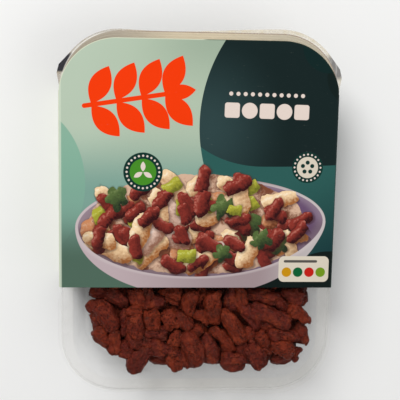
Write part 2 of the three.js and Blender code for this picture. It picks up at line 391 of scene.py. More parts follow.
# The fields of the front: each one's middle, and its radius or how far it reaches.
LEFT_FIELD = (-92.0, 17.0)
LEFT_FIELD_REACH = (33.0, 41.0)
RIGHT_FIELD = (81.8, 48.0)
RIGHT_FIELD_RADIUS = 82.0
DARK_FIELD = (33.0, 62.0)
DARK_FIELD_LEFT = 46.3
DARK_FIELD_RIGHT = 150.0
DARK_FIELD_DOWN = 35.0
GLOW_MIDDLE = (4.0, 46.0)
LOW_CORNER = (70.5, -48.1)
LOW_CORNER_RADIUS = 30.0
DARK_DISCS = (  # on the dark field: the colour, middle, radius and strength of each one
    (DARK_CORNER, (80.0, 74.0), 14.2, 0.7),
    (DARK_PATCH, (66.5, 90.0), 14.0, 0.9),
)

# The shapes laid on the fields. A box is half its length and width and its corners' radius, a bar is half
# its length and its ends' radius, and a leaf is half its length and width.
SPRIG_MIDDLE = (-36.0, 61.0)
SPRIG_TURN = 9.0
SPRIG_STEM_BAR = (24.0, 1.2)
SPRIG_STEPS = (-20.5, -7.5, 5.5, 17.6)  # where pairs of leaves leave the stem
SPRIG_LEAF = (10.6, 5.5)
SPRIG_LEAF_TURN = 56.0
SPRIG_END_LEAF = (8.0, 3.8)

MOTIF_TURN = -1.0
MOTIF_DOTS = (34.6, 64.4)
MOTIF_DOT_PITCH = 3.75
MOTIF_DOT_RADIUS = 1.05
MOTIF_DOTS_HALF_LENGTH = 20.6
MOTIF_SHAPES = (34.8, 55.9)
MOTIF_SHAPE_PITCH = 9.1
MOTIF_DISC_RADIUS = 4.1
MOTIF_BOX = (3.9, 3.9, 1.3)

# Each badge's middle and radius, the dots' distance from its middle, their number and radius, and the
# colour and radius of the field inside them.
GREEN_BADGE = ((-29.2, 23.5), 10.2, 8.5, 24, 0.55, BADGE_GREEN, 6.9)
CREAM_BADGE = ((57.1, 26.8), 8.2, 6.9, 20, 0.5, PLATE_CREAM, 5.6)
BADGE_LEAF = (2.6, 1.25)
BADGE_DOT_RADIUS = 1.1

PLATE_MIDDLE = (57.0, -27.8)
PLATE_BOX = (13.5, 7.0, 2.8)
PLATE_BAR = (9.0, 0.7)
PLATE_DOT_INKS = ((196, 140, 10), (4, 92, 48), (190, 28, 16), (110, 146, 26))  # from left to right
PLATE_DOTS = (-9.2, -1.7)  # the first dot's middle, from the plate's
PLATE_DOT_PITCH = 6.1
PLATE_DOT_RADIUS = 2.6

BACK_PANEL = (0.0, 24.0)
BACK_PANEL_BOX = (56.0, 46.0, 5.0)
BACK_LINE_PITCH = 5.2
BACK_LINE_BOX = (49.0, 0.65, 0.6)
BACK_LINES_HALF_HEIGHT = 38.0
BACK_BADGE = (-38.0, 28.0)  # from the panel's middle
BACK_BADGE_DISCS = ((CREAM, 13.0), (DARK, 11.0), (BADGE_GREEN, 8.5))
GLUED_EDGE_X = -64.0

# What the picture of a meal is made of, from the bottom up: the shape's name, its colours in light, in
# shade and where it shines, how far apart such shapes are, half their length and width, and the share of
# their places that are filled.
CREAM_INKS = (240, 208, 164), (158, 98, 52), (252, 238, 212)
SAUCE_INKS = (226, 194, 176), (142, 98, 78), (242, 226, 216)
BRICK_INKS = (138, 50, 40), (46, 13, 16), (196, 118, 102)
RUST_INKS = (200, 134, 92), (104, 54, 30), (222, 180, 148)
GREEN_INKS = (82, 102, 54), (34, 46, 30), (120, 138, 84)
LIME_INKS = (172, 170, 56), (104, 104, 34), (208, 212, 120)
SCATTER = (
    ("bar", *RUST_INKS, 22.0, 9.0, 5.6, 0.6),
    ("bar", *CREAM_INKS, 22.0, 11.5, 4.6, 0.9),
    ("bar", *SAUCE_INKS, 23.0, 11.0, 4.6, 0.85),
    ("bar", *BRICK_INKS, 16.5, 6.8, 3.3, 0.75),
    ("bar", *CREAM_INKS, 23.0, 11.5, 4.5, 0.85),
    ("box", *LIME_INKS, 19.0, 4.4, 3.4, 0.5),
    ("bar", *BRICK_INKS, 16.5, 7.2, 3.2, 0.75),
    ("bar", *SAUCE_INKS, 24.0, 11.0, 4.5, 0.6),
    ("bar", *CREAM_INKS, 24.0, 11.0, 4.4, 0.7),
    ("lobed", *GREEN_INKS, 23.0, 6.8, 6.8, 0.7),
    ("bar", *BRICK_INKS, 17.0, 7.3, 3.3, 0.8),
    ("bar", *CREAM_INKS, 26.0, 10.0, 4.5, 0.45),
    ("bar", *BRICK_INKS, 18.0, 7.2, 3.4, 0.8),
    ("lobed", *GREEN_INKS, 25.0, 6.2, 6.2, 0.7),
    ("box", *LIME_INKS, 26.0, 4.2, 3.0, 0.5),
)
LAYER_SHIFT_MM = 37.3  # how far each layer's places are moved from those of the one below it
PILED_MM = 0.35  # how much further up a piece looks where it lies on another one
LIT_FROM_LEFT, LIT_FROM_ABOVE = 0.5, 0.8

BOWL_CENTRE = (1.8, -4.0)
BOWL_TURN = 2.0
BOWL_HALF_WIDTH = 66.0
BACK_RIM_HEIGHT = 25.0
BOWL_DEPTH = 38.5
BOWL_TUCK = 1.8  # how much nearer its middle the right side is below the rim
MOUTH_HALF_WIDTH = 64.6
MOUTH_HEIGHT = 23.5
MOUTH_DEPTH = 28.0
MEAL_CENTRE = (-0.3, -5.0)
MEAL_HALF_WIDTH = 61.0
MEAL_HEIGHT = 30.5
MEAL_DEPTH = 29.0


def lay_fields(p, x, y, where):
    """The flat fields of colour of the front, with painted light and shade across the mint."""
    # Painted light and shade: the mint is lighter towards the left and darker at the top right.
    across = p.mix(LIT_MINT, MINT, p.smooth(x, -64.0, -20.0))
    across = p.mix(across, SHADED_MINT, p.smooth(x, -40.0, 6.0) * p.smooth(y, 60.0, 92.0))
    p.start(p.mix(across, MINT_DEEP, p.smooth(y, 50.0, 12.0)))
    p.lay(LOW_TEAL, p.smooth(y, 10.0, -24.0))

    left = p.oval(*from_middle(x, y, LEFT_FIELD), *LEFT_FIELD_REACH)
    p.lay(EDGE_TEAL, p.inside(left) * p.smooth(y, -20.0, 30.0) * 0.85)

    right = p.disc(*from_middle(x, y, RIGHT_FIELD), RIGHT_FIELD_RADIUS)
    teal = p.mix(TEAL, TEAL_DEEP, p.smooth(x * 0.5 - y, 0.0, 68.0) * 0.8)
    p.shape(teal, right)

    dark_x, dark_y = DARK_FIELD
    down = (y - dark_y).least(0.0) / DARK_FIELD_DOWN
    on_right = p.smooth(x, dark_x, dark_x + 0.01)
    reach = on_right * (DARK_FIELD_RIGHT - DARK_FIELD_LEFT) + DARK_FIELD_LEFT
    dark = ((p.hypot((x - dark_x) / reach, down) - 1.0) * DARK_FIELD_DOWN).most(right)
    p.shape(DARK, dark)
    glow_x, glow_y = from_middle(x, y, GLOW_MIDDLE)
    glow = p.smooth(p.hypot(glow_x * 0.9, glow_y * 0.75), 40.0, 0.0)
    p.lay(DARK_GLOW, p.inside(dark) * glow)
    for colour, middle, radius, strength in DARK_DISCS:
        disc = p.disc(*from_middle(x, y, middle), radius)
        p.lay(colour, p.inside(disc.most(right)) * strength)
    low = p.smooth(y, -24.0, -26.0) * p.smooth(x, 10.0, 12.0)
    corner = p.disc(*from_middle(x, y, LOW_CORNER), LOW_CORNER_RADIUS)
    p.lay(CORNER_DARK, p.inside(corner).most(low))


def half_ovals(p, x, y, half_width, above, below):
    """An oval whose upper and lower halves differ in height."""
    half_height = p.smooth(y, -0.01, 0.01) * (above - below) + below
    return (p.hypot(x / half_width, y / half_height) - 1.0) * below


def meal_outline(p, x, y, margin):
    x, y = from_middle(x, y, MEAL_CENTRE)
    return half_ovals(p, x, y, MEAL_HALF_WIDTH - margin, MEAL_HEIGHT - margin, MEAL_DEPTH - margin)


def lay_scatter(p, x, y, where, layer, kind):
    """One kind of simple shape, scattered over the meal and lit from the upper left."""
    grain = p.split(where)[2]
    name, light, deep, shine, pitch, half_length, half_width, share = kind
    shift = LAYER_SHIFT_MM * layer
    spots = p.vector((x + shift) / pitch, (y - shift) / pitch)
    cells = p.node("ShaderNodeTexVoronoi", {"Vector": spots, "Scale": 1.0, "Randomness": 0.7})
    cells.voronoi_dimensions = "2D"
    colour = p.node("ShaderNodeSeparateColor", {0: cells.outputs["Color"]}).outputs
    chance, turn, tone = (Number(p, socket) for socket in colour)
    middle_x, middle_y, _ = p.split(cells.outputs["Position"])
    middle_x = middle_x * pitch - shift
    middle_y = middle_y * pitch + shift

    angle = turn * (2 * math.pi)
    cos, sin = angle.math("COSINE"), angle.math("SINE")
    from_x, from_y = x - middle_x, y - middle_y
    size = tone * 0.34 + 0.8
    along = (from_x * cos + from_y * sin) / size
    across = (from_y * cos - from_x * sin) / size
    distance = {
        "bar": lambda: p.bar(along, across, half_length, half_width),
        "box": lambda: p.box(along, across, half_length, half_width, half_width * 0.35),
        "lobed": lambda: p.lobed(along, across, half_length),
    }[name]()
    straight = half_length - half_width
    beyond = along - along.least(straight).most(-straight)
    lit_x = beyond * cos - across * sin
    lit_y = beyond * sin + across * cos
    lit = (lit_y * LIT_FROM_ABOVE - lit_x * LIT_FROM_LEFT) / half_width

    outline = meal_outline(p, middle_x, middle_y, 5.0)
    shown = p.smooth(chance, share, share - 0.001) * p.inside(outline, 0.01)
    shadow = p.smooth(distance + lit * 0.5, 1.5, -0.3) * shown
    p.lay(MEAL_SHADOW, shadow * 0.6)
    shade = p.smooth(lit, 0.55, -0.8) + (grain - 0.5) * 1.1
    ink = p.mix(srgb(*light), srgb(*deep), shade.least(1.0).most(0.0))
    shining = p.smooth(abs(lit - 0.5), 0.3, 0.0) * p.smooth(grain, 0.42, 0.6)
    ink = p.mix(ink, srgb(*shine), shining * 0.75)
    covered = p.inside(distance) * shown
    p.lay(ink, covered)
    return p.vector(x, y + covered * PILED_MM, grain)


def lay_meal(p, x, y, where):
    """Simple shapes of the meal's colours, heaped on a pale ground."""
    clouds = p.noise(where, 0.1, 1.0)
    stirred = p.noise(where, 0.17, 1.0)
    uneven = p.noise(where, 0.4, 2.0)
    grain = p.noise(where, 0.8, 3.0, 0.6)
    warped_x = x + (clouds - 0.5) * 5.0 + (uneven - 0.5) * 1.4
    warped_y = y + (stirred - 0.5) * 4.0 - (uneven - 0.5) * 1.4
    ground = p.mix(MEAL_PALE, MEAL_DEEP, p.smooth(clouds + grain * 0.4, 0.64, 0.86))
    p.shape(ground, meal_outline(p, warped_x, warped_y, 3.0))
    place = p.vector(warped_x, warped_y, grain)
    for layer, kind in enumerate(SCATTER, start=1):
        place = p.part(f"scatter_{layer}", partial(lay_scatter, layer=layer, kind=kind), place)
    cells = p.node("ShaderNodeTexVoronoi", {"Vector": where, "Scale": 0.3}).outputs["Distance"]
    specks = p.smooth(Number(p, cells), 0.12, 0.07) * p.smooth(stirred, 0.45, 0.6)
    p.lay(MEAL_SPECK, specks * p.inside(meal_outline(p, x, y, 4.0)) * 0.7)


def lay_bowl(p, x, y, where):
    """A plain pale bowl. Its front hides the lower edge of the meal."""
    bx, by = p.turned(x, y, BOWL_CENTRE, BOWL_TURN)
    below_rim = p.smooth(by, 0.0, -14.0) * p.smooth(by, -38.0, -22.0)
    bx = bx + below_rim * p.smooth(bx, 20.0, 46.0) * BOWL_TUCK
    outer = half_ovals(p, bx, by, BOWL_HALF_WIDTH, BACK_RIM_HEIGHT, BOWL_DEPTH)
    mouth = half_ovals(p, bx, by, MOUTH_HALF_WIDTH, MOUTH_HEIGHT, MOUTH_DEPTH)
    outside = p.mix(BOWL_LEFT, BOWL_MIDDLE, p.smooth(x, -58.0, 24.0))
    outside = p.mix(outside, BOWL_RIGHT, p.smooth(x, 30.0, 62.0))
    outside = p.mix(outside, BOWL_RIM, p.smooth(mouth, 1.6, 0.5) * 0.5)
    p.shape(outside, outer)
    inner = p.mix(BOWL_INSIDE_LEFT, BOWL_INSIDE_RIGHT, p.smooth(x, -20.0, 50.0))
    inner = p.mix(inner, BOWL_INSIDE_RIM, p.smooth(mouth, -3.0, 0.0) * 0.6)
    p.shape(inner, mouth)
    p.part("meal", lay_meal, where)
    near_rim = p.smooth(mouth, -5.0, 0.0) * p.smooth(by, 4.0, -4.0)
    p.lay(BOWL_SHADE, near_rim * p.inside(mouth) * 0.35)
    p.lay(outside, p.inside(outer) * (1.0 - p.inside(mouth)) * p.smooth(by, 0.5, -0.5))


def lay_ring_of_dots(p, x, y, radius, count, dot_radius):
    around = p.from_nearest(p.math("ARCTAN2", y, x), 2 * math.pi / count)
    p.shape(CREAM, p.hypot(around * radius, p.hypot(x, y) - radius) - dot_radius)


def lay_badge(p, x, y, middle, radius, dots_at, count, dot_radius, field, field_radius):
    """A dark disc with a ring of dots round a plain field. Places from its middle are returned."""
    bx, by = p.turned(x, y, middle)
    p.shape(RING_DARK, p.disc(bx, by, radius))
    lay_ring_of_dots(p, bx, by, dots_at, count, dot_radius)
    p.shape(field, p.disc(bx, by, field_radius))
    return bx, by


def lay_badges(p, x, y, where):
    """A green badge with three leaves, and a cream one with five dots."""
    bx, by = lay_badge(p, x, y, *GREEN_BADGE)
    for degrees in (90, 210, 330):
        lx, ly = p.turned(bx, by, (0, 0), degrees)
        p.shape(CREAM, p.leaf(lx - 2.9, ly, *BADGE_LEAF))

    bx, by = lay_badge(p, x, y, *CREAM_BADGE)
    for degrees in range(18, 378, 72):
        lx, ly = p.turned(bx, by, (0, 0), degrees)
        p.shape(RING_DARK, p.disc(lx - 2.6, ly, BADGE_DOT_RADIUS))


def lay_sprig(p, x, y, where):
    """A bold orange sprig: a stem with a leaf at its end and pairs of leaves along it."""
    sx, sy = p.turned(x, y, SPRIG_MIDDLE, SPRIG_TURN)
    p.shape(ORANGE, p.bar(sx + 1.0, sy, *SPRIG_STEM_BAR))
    leaf_middle = SPRIG_LEAF[0] + 0.6
    for step in SPRIG_STEPS:
        for side in (1, -1):
            lx, ly = p.turned(sx, sy, (step, 0), SPRIG_LEAF_TURN * side)
            p.shape(ORANGE, p.leaf(lx - leaf_middle, ly, *SPRIG_LEAF))
    p.shape(ORANGE, p.leaf(sx - 26.0, sy, *SPRIG_END_LEAF))


def lay_motif(p, x, y, where):
    """A row of small dots over a row of bold round and square shapes."""
    tx, ty = p.turned(x, y, MOTIF_DOTS, MOTIF_TURN)
    dots = p.hypot(p.from_nearest(tx, MOTIF_DOT_PITCH), ty) - MOTIF_DOT_RADIUS
    p.shape(CREAM, dots.most(abs(tx) - MOTIF_DOTS_HALF_LENGTH))
    tx, ty = p.turned(x, y, MOTIF_SHAPES, MOTIF_TURN)
    for place in range(-2, 3):
        along = tx - place * MOTIF_SHAPE_PITCH
        if place % 2:
            p.shape(CREAM, p.disc(along, ty, MOTIF_DISC_RADIUS))
        else:
            p.shape(CREAM, p.box(along, ty, *MOTIF_BOX))


def lay_plate(p, x, y, where):
    """A cream plate with a line and four coloured dots."""
    px, py = p.turned(x, y, PLATE_MIDDLE)
    p.shape(PLATE_CREAM, p.box(px, py, *PLATE_BOX))
    p.shape(PLATE_LINE, p.bar(px + 1.8, py - 4.2, *PLATE_BAR))
    dots_x, dots_y = PLATE_DOTS
    for place, ink in enumerate(PLATE_DOT_INKS):
        p.shape(srgb(*ink), p.disc(px - dots_x - place * PLATE_DOT_PITCH, py - dots_y, PLATE_DOT_RADIUS))


def lay_back(p, x, y, where):
    """The back: plain mint, with a pale panel of plain lines, and the glued edge."""
    on_back = p.smooth(p.split(where)[2], 1.0, 0.8)
    front = p.colour
    p.start(p.mix(MINT, MINT_DEEP, p.smooth(y, 90.0, -38.0)))
    bx, by = p.turned(x, y, BACK_PANEL)
    p.shape(CREAM, p.box(bx, by, *BACK_PANEL_BOX))
    lines = p.box(bx, p.from_nearest(by, BACK_LINE_PITCH), *BACK_LINE_BOX)
    p.shape(RING_DARK, lines.most(abs(by) - BACK_LINES_HALF_HEIGHT))
    for colour, radius in BACK_BADGE_DISCS:
        p.shape(colour, p.disc(*from_middle(bx, by, BACK_BADGE), radius))
    p.lay(GLUED_EDGE, p.smooth(abs(x - GLUED_EDGE_X), 0.35, 0.1) * 0.8)
    back = p.colour
    p.start(p.mix(front, back, on_back))


def lay_edges(p, x, y, where):
    """The plain side panels, a painted highlight along the left fold, and a fine line along the card's
    outline.
    """
    z = p.split(where)[2]
    facing_x = p.facing()[0]
    top, side, end = SLEEVE_HIGH.z, SLEEVE_HIGH.x, SLEEVE_HIGH.y
    on_left = p.smooth(x, 1.0, -1.0)
    # The left side panel takes the lighter mint that is painted as lit.
    side_colour = p.mix(SIDE_TEAL, LIT_MINT, on_left)
    p.lay(side_colour, p.smooth(abs(facing_x), 0.6, 0.8))
    # A pale line painted along the left fold as a highlight.
    fold_highlight = p.smooth(abs(x), side - 1.8, side - 1.1) * p.smooth(z, top - 2.2, top - 0.6)
    p.lay(FOLD_HIGHLIGHT, fold_highlight * on_left * 0.85)
    along = (abs(x) - (side - TRAY_CORNER_MM)).most(0.0)
    across = (y - (end - TRAY_CORNER_MM)).most(0.0)
    trim = p.smooth(TRAY_CORNER_MM - p.hypot(along, across), 0.55, 0.25)
    p.lay(TRIM_PALE, trim * p.smooth(x, 4.0, 0.0))
    p.lay(TRIM_DARK, trim * p.smooth(x, 0.0, 4.0) * 0.5)


PRINT_PARTS = (lay_fields, lay_sprig, lay_motif, lay_bowl, lay_badges, lay_plate, lay_back, lay_edges)


def print_material():
    """The print on the card's outer faces, and bare card on its inner faces and cut edges."""
    p = Paint("printed_card")
    (x, _, z), where = p.place()
    facing_x, _, facing_z = p.facing()
    top, side = SLEEVE_HIGH.z, SLEEVE_HIGH.x

    p.start(MINT)
    for lay in PRINT_PARTS:
        p.part(lay.__name__, lay, where)

    on_flat = p.smooth(abs(z - top / 2), top / 2 - 0.3, top / 2 - 0.2)
    outer_flat = on_flat * p.smooth(abs(facing_z), 0.4, 0.6)
    on_side = p.smooth(abs(x), side - 0.3, side - 0.2)
    outer_side = on_side * p.smooth(abs(facing_x), 0.4, 0.6)
    folded = p.smooth(abs(x), side - 1.6, side - 1.5) * p.smooth(abs(facing_x) + abs(facing_z), 0.8, 0.9)
    printed = outer_flat.most(outer_side).most(folded)
    bare = p.mix(CARD_WHITE, CARD_GREY, p.noise(where, 0.8, 3.0))
    p.start(p.mix(bare, p.colour, printed))

    fibre = p.noise(where, 3.0, 3.0)
    waves = p.noise(where, 0.03, 1.0)
    scuffs = p.smooth(p.noise(where, 0.55, 3.0, 0.7, stretch=(0.5, 2.4, 1.0)), 0.68, 0.78)
    p.lay(SCUFF_PALE, scuffs * 0.12)
    normal = p.bump(waves, 0.25, 3.0, p.bump(fibre, 0.12, 0.08))
    roughness = p.noise(where, 0.12, 2.0) * 0.12 + 0.36
    shader = p.principled(Base_Color=p.colour, Roughness=roughness, Normal=normal, Specular_IOR_Level=0.09)
    return p.finish(shader)


# ---- Clear plastics ----

SEAL_TOP_END = (20.0, 62.0)  # the seal is nearly clear below the first, and whitish above the second
SEAL_LEFT = srgb(182, 171, 153)
SEAL_MIDDLE = srgb(222, 207, 178)
SEAL_RIGHT = srgb(204, 194, 172)
SEAL_RIDGE = srgb(160, 148, 130)
LOOSE_FILM = srgb(236, 226, 202)
FLANGE_LINE = srgb(146, 118, 104)
# A glint painted along the flange's outer edge.
RIM_GLINT = srgb(250, 248, 240)
# Grey and dark tints painted on the film's clear ears as shade.
EAR_SHADE_DEEP = srgb(132, 130, 128)
EAR_SHADE_PALE = srgb(176, 174, 170)
EAR_SHADOW_LEFT = srgb(42, 42, 48)
EAR_HEIGHT = 79.0
RIDGES = 5.0  # how fast the seal's ridges follow each other, in radians to the millimetre
FLANGE_CLOUDY = srgb(206, 198, 180)
TRAY_CLEAR = srgb(222, 226, 224)


def outside_flange(p, x, y):
    """How far a point is outside the flange's outline."""
    return p.box(x, y, TRAY_HIGH.x, TRAY_HIGH.y, TRAY_CORNER_MM)


def line_at(p, distance, middle, half_width):
    return p.smooth(abs(distance - middle), half_width, 0.0)


def clear_shader(p, body, gloss, roughness, normal):
    """Clear plastic: light goes straight through, but for its body and a gloss that grows at its edges."""
    edge = Number(p, p.node("ShaderNodeLayerWeight", {"Blend": 0.4}).outputs["Facing"])
    share = (edge.math("POWER", 3.0) * gloss + body).least(1.0)
    solid = p.principled(Base_Color=p.colour, Roughness=roughness, Normal=normal, Specular_IOR_Level=0.5)
    through = p.node("ShaderNodeBsdfTransparent").outputs[0]
    return p.node("ShaderNodeMixShader", {0: share, 1: through, 2: solid}).outputs[0]


def film_material():
    """Clear over the pieces, ridged where it is sealed to the flange, and loose with two ears beyond."""
    p = Paint("clear_film")
    (x, y, _), where = p.place()
    distance = outside_flange(p, x, y)
    top_end = p.smooth(y, *SEAL_TOP_END)
    sealed = p.smooth(distance, -TRAY_FLANGE_MM - 0.3, -TRAY_FLANGE_MM + 0.3)
    beyond = p.smooth(distance, -0.1, 0.5)
    ridges = p.math("SINE", distance * RIDGES) * 0.5 + 0.5
    mottle = p.noise(where, 0.25, 3.0)

    on_left = p.smooth(x, -20.0, -50.0)
    corner = p.smooth(abs(x), 42.0, 56.0)
    p.start(p.mix(SEAL_MIDDLE, SEAL_RIGHT, p.smooth(x, 0.0, 50.0)))
    p.lay(SEAL_LEFT, p.smooth(x, -6.0, -46.0))
    p.lay(SEAL_RIDGE, ridges * (corner * 0.2 + 0.1))
    p.lay(LOOSE_FILM, beyond * (1.0 - on_left) * 0.7)
    p.lay(FLANGE_LINE, line_at(p, distance, 0.1, 0.45) * (1.0 - on_left) * 0.8)
    # Painted highlight: a glint along the flange's outer edge at the corners, wider and stronger at the
    # left.
    glint = line_at(p, distance, on_left * -0.5 + 0.7, 0.5) * (on_left * 0.5 + 0.5) * corner
    p.lay(RIM_GLINT, glint)
    # Painted shade: the ears are tinted grey with paler streaks, and dark at the left.
    ear = p.smooth(abs(x), 63.0, 68.0) * p.smooth(abs(y - EAR_HEIGHT), on_left * -2.5 + 8.0, 4.0) * beyond
    streaks = p.smooth(p.noise(where, 0.3, 2.0, stretch=(2.0, 0.4, 1.0)), 0.45, 0.65)
    p.lay(p.mix(p.mix(EAR_SHADE_DEEP, EAR_SHADE_PALE, streaks), EAR_SHADOW_LEFT, on_left), ear)

    body = sealed * (top_end * 0.72 + 0.05)
    body = body * (1.0 - beyond * 0.5) + beyond * p.smooth(mottle, 0.4, 0.7) * top_end * 0.3
    body = body + ear * top_end * 0.5
    outer_edge = p.smooth(distance, 2.2, 3.0) * top_end
    body = (body + outer_edge * 0.12 + 0.001).least(0.95)
    wrinkles = p.noise(where, 0.09, 2.0)
    normal = p.bump(wrinkles, 0.5, 2.0, p.bump(ridges, 0.3, 0.15))
    return p.finish(clear_shader(p, body, 0.3, 0.14, normal))


def tray_material():
    """Clear, with a cloudy flange at its top end and faint marks of its mould."""
    p = Paint("clear_tray")
    (x, y, z), where = p.place()
    flange = p.smooth(z, TRAY_HIGH.z - 1.2, TRAY_HIGH.z - 0.6)
    top_end = p.smooth(y, *SEAL_TOP_END)
    rim = p.smooth(outside_flange(p, x, y), -1.0, -0.5)
    marks = p.smooth(p.noise(where, 0.15, 3.0), 0.45, 0.75)
    body = flange * (top_end * 0.4 + 0.02) + rim * 0.07 + marks * 0.03 + 0.012
    p.start(p.mix(FLANGE_CLOUDY, TRAY_CLEAR, 1.0 - flange * top_end))
    normal = p.bump(p.noise(where, 0.05, 2.0), 0.4, 2.0)
    return p.finish(clear_shader(p, body, 0.32, 0.12, normal))


# ---- Bacon pieces ----

PIECE_LENGTH_MM = (13.0, 21.0)
PIECE_WIDTH_MM = (7.4, 10.6)
PIECE_THICKNESS_MM = (6.2, 8.4)
HEAP_LEVEL_MM = 28.0  # height of the upper pieces' middles at the bottom end of the pack
HEAP_LEVEL_AT_TOP_MM = 22.0
CLEAR_MM = 0.35  # between the pieces and the plastic
HEAP_SEED = 11
COARSE_CUTS = 5
FINE_CUTS = 12
CRACK_WIDTH = 0.12  # of the noise that the cracks follow
SQUARENESS = (2.3, 3.4)
BIT_MIXERS = tuple(np.uint32(n) for n in (374761393, 668265263, 2246822519, 1274126177))  # large and odd

# The pieces that show below the sleeve: middle, degrees that the length is turned, length, width, how far
# above the heap's level, and tone, from 0 for a purplish one to 1 for an orange one.
SEEN_PIECES = (
    (-50.5, -42.5, -8, 15, 9.0, -2.5, 0.1),
    (-49.4, -54.9, -54, 21.5, 11.5, 1.2, 0.45),
    (-42.5, -45.5, -32, 14, 9.5, -0.8, 0.3),
    (-31.8, -46.0, -78, 14, 8.5, 0.4, 0.55),
    (-26.0, -45.0, -84, 13, 7.0, 0.2, 0.45),
    (-33.2, -51.5, 5, 8, 5.5, 2.0, 0.95),
    (-37.8, -59.0, -88, 15, 6.5, -0.6, 0.1),
    (-32.0, -60.5, -88, 16, 9.5, 1.4, 0.5),
    (-33.0, -69.0, -45, 11, 8.0, -0.4, 0.35),
    (-49.2, -67.0, -48, 14, 9.5, -0.8, 0.75),
    (-43.2, -69.5, -84, 15, 8.0, 0.6, 0.6),
    (-45.6, -72.0, -25, 9, 6.5, -2.0, 0.5),
    (-37.2, -75.0, -40, 13, 9.0, -1.2, 0.3),
    (-29.4, -79.2, 50, 19, 10.0, 0.2, 0.2),
    (-26.6, -69.5, -82, 13, 7.0, -0.6, 0.4),
    (-20.5, -47.6, -5, 10, 7.5, 0.0, 0.2),
    (-13.6, -42.4, -14, 13, 7.5, 0.6, 0.8),
    (-12.6, -47.0, -16, 8, 4.5, -1.2, 0.8),
    (-8.6, -46.0, -85, 13, 6.0, -2.4, 0.3),
    (-3.2, -47.8, 80, 15, 9.0, 1.3, 0.75),
    (2.0, -43.4, 50, 10, 7.0, -0.8, 0.6),
    (-24.0, -57.0, -78, 12, 9.5, 1.0, 1.0),
    (-13.6, -57.2, -68, 12, 8.5, 1.2, 0.7),
    (-6.2, -58.0, -38, 12, 8.0, 0.8, 0.55),
    (-20.8, -64.5, -12, 14, 8.5, -0.8, 0.35),
    (-20.5, -73.0, -15, 12, 10.0, -1.2, 0.3),
    (-11.2, -67.8, 70, 10, 6.5, 0.4, 0.8),
    (-12.5, -74.5, -15, 13, 8.0, -0.8, 0.3),
    (-10.9, -80.4, -74, 12, 8.5, -0.8, 0.8),
    (-5.6, -79.4, -60, 12, 7.5, -0.8, 0.55),
    (-1.8, -72.5, -66, 22, 11.0, 1.4, 0.55),
    (0.2, -63.0, -18, 8, 6.0, 0.8, 0.7),
    (2.6, -55.8, -18, 9, 6.0, -0.2, 0.85),
    (5.6, -59.0, -50, 5, 4.0, 0.8, 0.4),
    (9.8, -50.2, -87, 20, 9.5, 1.5, 0.85),
    (19.3, -46.0, -78, 14, 7.5, 0.3, 0.1),
    (24.4, -46.0, -80, 14, 6.5, 0.2, 0.7),
    (20.4, -60.8, -61, 22, 9.0, 1.3, 0.85),
    (14.6, -68.2, -52, 20, 7.5, 0.9, 0.7),
    (8.0, -73.5, -64, 19, 9.5, -0.4, 0.3),
    (29.8, -55.5, -54, 18, 8.5, -0.2, 0.2),
    (20.8, -80.5, -12, 14, 10.5, -0.2, 0.35),
    (33.0, -77.5, -66, 18, 10.0, 0.0, 0.3),
    (26.5, -74.0, -70, 13, 6.5, -2.0, 0.35),
    (37.2, -44.5, -11, 19, 8.5, 0.3, 0.35),
    (41.2, -54.5, -25, 24, 10.0, 1.5, 0.3),
    (53.2, -43.9, -16, 14, 8.5, 0.4, 0.3),
    (57.3, -54.4, -33, 16, 7.5, 1.0, 0.75),
    (48.2, -65.8, -6, 18, 8.0, 0.4, 0.4),
    (59.2, -65.8, -70, 12, 6.5, -0.4, 0.5),
    (30.4, -66.2, -45, 9, 7.0, 0.3, 0.5),
    (37.0, -67.8, -50, 11, 8.0, 0.6, 0.65),
    (46.8, -73.3, -16, 15, 8.5, 0.6, 0.8),
    (56.0, -75.6, 50, 6.5, 5.0, -0.6, 0.3),
    (39.6, -61.0, -26, 13, 6.0, -1.4, 0.3),
    (38.4, -73.6, -35, 8, 6.0, -1.0, 0.4),
    (56.3, -80.4, -60, 4.2, 2.8, -1.4, 0.3),
    (47.8, -48.6, -35, 9, 6.5, -1.6, 0.3),
    (-53.6, -58.8, -72, 11, 7.0, -1.8, 0.2),
    (3.4, -49.0, -75, 9, 5.5, -2.6, 0.2),
)
UNDER_CARD_DROP_MM = 1.6  # how much lower they lie next to the card
NEAR_CARD_MM = 14.0  # how far from the card they start to lie lower
CAMERA_LEAN = 0.006  # how much further from under the camera a place is at the pieces' depth

# The other pieces are drawn at random.
BARE_SIDE_MM = -47.0  # below the card there is no place for one further left than this,
BARE_CORNER_MM = 106.0  # or this far out towards the lower left corner
END_ROW_MM = -70.0  # the ones in rows below this lie nearly along the tray's end
COLUMN_PITCH_MM = 10.5
ROW_PITCH_MM = 11.6
ROWS_RIGHT_MM = 56.0
WALL_ROWS_MM = (6.5, 12.5, 18.0)  # heights
WALL_INSET_MM = 4.6
WALL_PITCH_MM = 12.5
CARD_HIDES_MM = (SLEEVE_LOW.y + 2, 64.0)  # the walls between these are behind the card

CORE_INSET_MM = 7.5  # from the tray's inside to the heap's core
CORE_PITCH_MM = 8.0
CORE_UNDER_LEVEL_MM = 5.0

FLOOR_TOP = TRAY_LOW.z + TRAY_WALL_MM
CORE_BOTTOM = FLOOR_TOP + 3.0
FILLET_TOP = FLOOR_TOP + TRAY_FILLET_MM
FILLET_INSET = (
    TRAY_FLANGE_MM
    + (TRAY_HIGH.z - FILLET_TOP) * math.tan(TRAY_DRAFT)
    + TRAY_FILLET_MM / math.cos(TRAY_DRAFT)
)


def inside_inset(z):
    """How far the tray's inside is from its flange's edge at heights z."""
    z = np.asarray(z, float)
    on_wall = TRAY_FLANGE_MM + (TRAY_HIGH.z - z) * math.tan(TRAY_DRAFT)
    drop = np.clip(FILLET_TOP - z, 0, TRAY_FILLET_MM)
    in_fillet = FILLET_INSET - np.sqrt(TRAY_FILLET_MM**2 - drop**2)
    return np.where(FILLET_TOP - z <= TRAY_FILLET_MM * math.sin(TRAY_DRAFT), on_wall, in_fillet)


